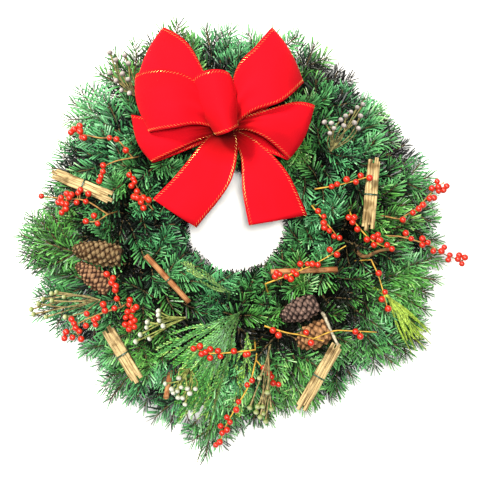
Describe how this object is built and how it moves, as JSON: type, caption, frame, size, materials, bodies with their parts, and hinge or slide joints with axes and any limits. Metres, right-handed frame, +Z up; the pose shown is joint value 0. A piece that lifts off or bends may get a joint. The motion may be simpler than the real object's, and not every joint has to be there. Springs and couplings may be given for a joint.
{
  "type": "fresh evergreen wreath",
  "caption": "Round wreath of fir bunches clamped to a wire ring, with cedar, berry twigs, cones, bark quills, stick bundles and a ribbon bow; lies on its back.",
  "frame": {"origin": "on the surface the wreath lies on, under the middle of its box", "axes": "+Z up out of the wreath's face, +Y towards the bow, +X to the right as it hangs"},
  "size_m": [0.582, 0.5917, 0.1435],
  "materials": {
    "ring_wire": "satin green enamel",
    "fir": "waxy needles",
    "cedar_bright": "scaly leaves",
    "cedar_lime": "scaly leaves",
    "cedar_olive": "scaly leaves",
    "tuft_lime": "smooth strands",
    "cone_tan": "woody scales",
    "cone_brown": "woody scales",
    "cone_dark": "woody scales",
    "cone_light": "woody scales",
    "cinnamon": "dry rolled bark",
    "split_wood": "split pale wood",
    "tie_wire": "green coated wire",
    "red_berries": "taut glossy skin",
    "pale_berries": "powdery skin",
    "grey_bark": "dry bark",
    "brown_bark": "dry bark",
    "red_velvet": "velvet pile with a gold wired edge"
  },
  "bodies": {
    "root": {"ring_frame": "ring_wire", "bow_ribbon": "red_velvet", "bow_wire": "tie_wire", "fir_bunch_01": "fir", "fir_bunch_02": "fir", "fir_bunch_03": "fir", "fir_bunch_04": "fir", "fir_bunch_05": "fir", "fir_bunch_06": "fir", "fir_bunch_07": "fir", "fir_bunch_08": "fir", "fir_bunch_09": "fir", "fir_bunch_10": "fir", "fir_bunch_11": "fir", "fir_bunch_12": "fir", "cedar_fan": "cedar_bright", "cedar_lime_spray": "cedar_lime", "cedar_hole_twig": "cedar_olive", "lime_tuft": "tuft_lime", "pine_cone_1": "cone_tan", "pine_cone_2": "cone_brown", "pine_cone_3": "cone_dark", "pine_cone_4": "cone_light", "cinnamon_quill_1": "cinnamon", "cinnamon_quill_2": "cinnamon", "cinnamon_quill_3": "cinnamon", "split_sticks_1": "split_wood", "split_sticks_2": "split_wood", "split_sticks_3": "split_wood", "split_sticks_4": "split_wood", "tie_wire_1": "tie_wire", "tie_wire_2": "tie_wire", "tie_wire_3": "tie_wire", "tie_wire_4": "tie_wire", "tie_wire_5": "tie_wire", "tie_wire_6": "tie_wire", "tie_wire_7": "tie_wire", "red_berry_twig_01": "red_berries", "red_berry_twig_02": "red_berries", "red_berry_twig_03": "red_berries", "red_berry_twig_04": "red_berries", "red_berry_twig_05": "red_berries", "red_berry_twig_06": "red_berries", "red_berry_twig_07": "red_berries", "red_berry_twig_08": "red_berries", "red_berry_twig_09": "red_berries", "red_berry_twig_10": "red_berries", "red_berry_twig_11": "red_berries", "red_berry_twig_12": "red_berries", "red_berry_twig_13": "red_berries", "red_berry_twig_14": "red_berries", "red_berry_twig_15": "red_berries", "pale_berry_sprig_1": "pale_berries", "pale_berry_sprig_2": "pale_berries", "pale_berry_sprig_3": "pale_berries", "pale_berry_sprig_4": "pale_berries", "pale_berry_sprig_5": "pale_berries", "pale_berry_sprig_6": "pale_berries", "grey_twig": "grey_bark", "brown_twig": "brown_bark"}
  },
  "joints": []
}
